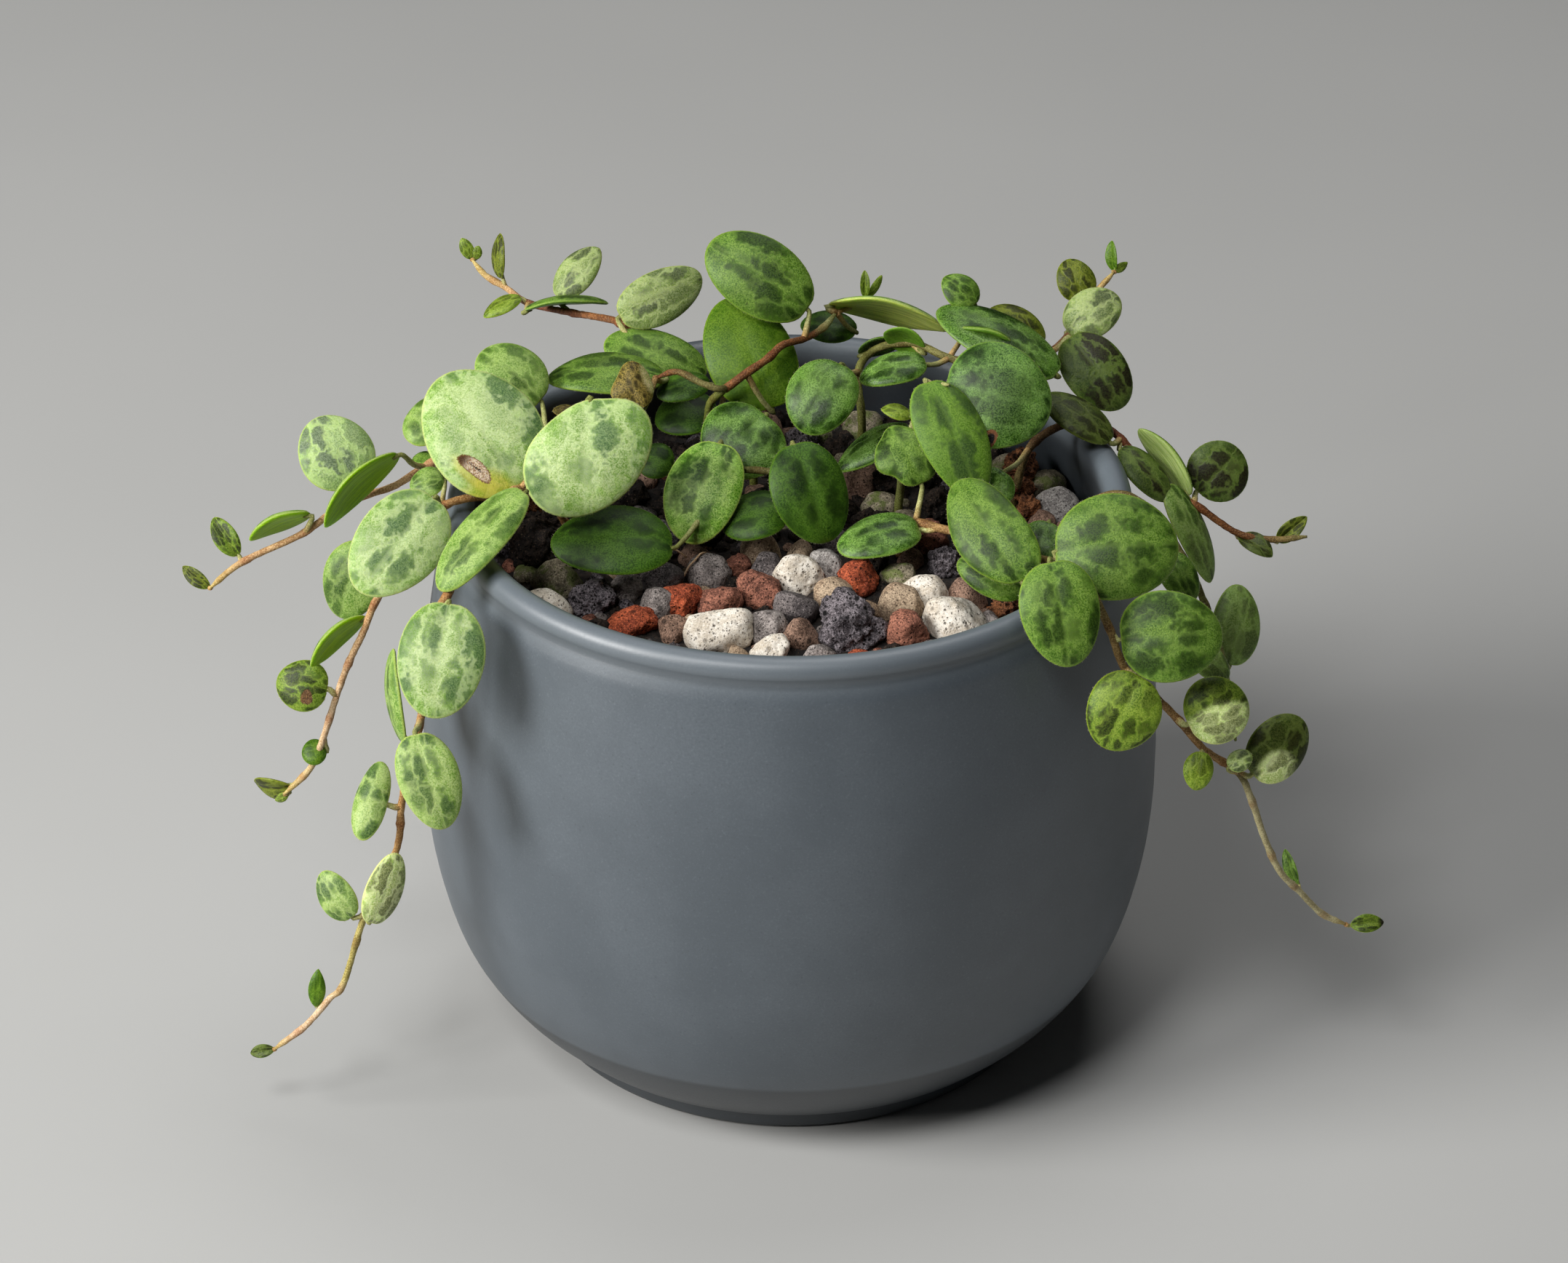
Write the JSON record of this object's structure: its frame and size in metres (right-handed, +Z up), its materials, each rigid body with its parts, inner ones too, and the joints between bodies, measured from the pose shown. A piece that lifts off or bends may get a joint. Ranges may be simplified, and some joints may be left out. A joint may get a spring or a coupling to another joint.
{
  "type": "potted trailing plant",
  "caption": "Small trailing houseplant with round patterned leaves, growing in a round glazed pot topped with mixed stone grit.",
  "frame": {"origin": "centre of the pot's flat underside, on its turning axis", "axes": "+Z up along the pot's axis, -Y towards the side that the picture shows, +X to the right of that view"},
  "size_m": [0.1644, 0.1103, 0.1034],
  "materials": {
    "pot": "satin stoneware glaze",
    "mix": "dark crumbly potting mix",
    "grit": "porous stone, lava and pumice",
    "plant": "fleshy leaf with a satin skin"
  },
  "bodies": {
    "root": {"pot": "pot", "potting_mix": "mix", "grit": "grit", "vine_far_left": "plant", "vine_left": "plant", "vine_front_left": "plant", "vine_back_left": "plant", "vine_crown": "plant", "vine_centre_back": "plant", "vine_centre": "plant", "vine_inner_right": "plant", "vine_back_right": "plant", "vine_right": "plant", "vine_front_right": "plant", "vine_right_hanging": "plant"}
  },
  "joints": []
}
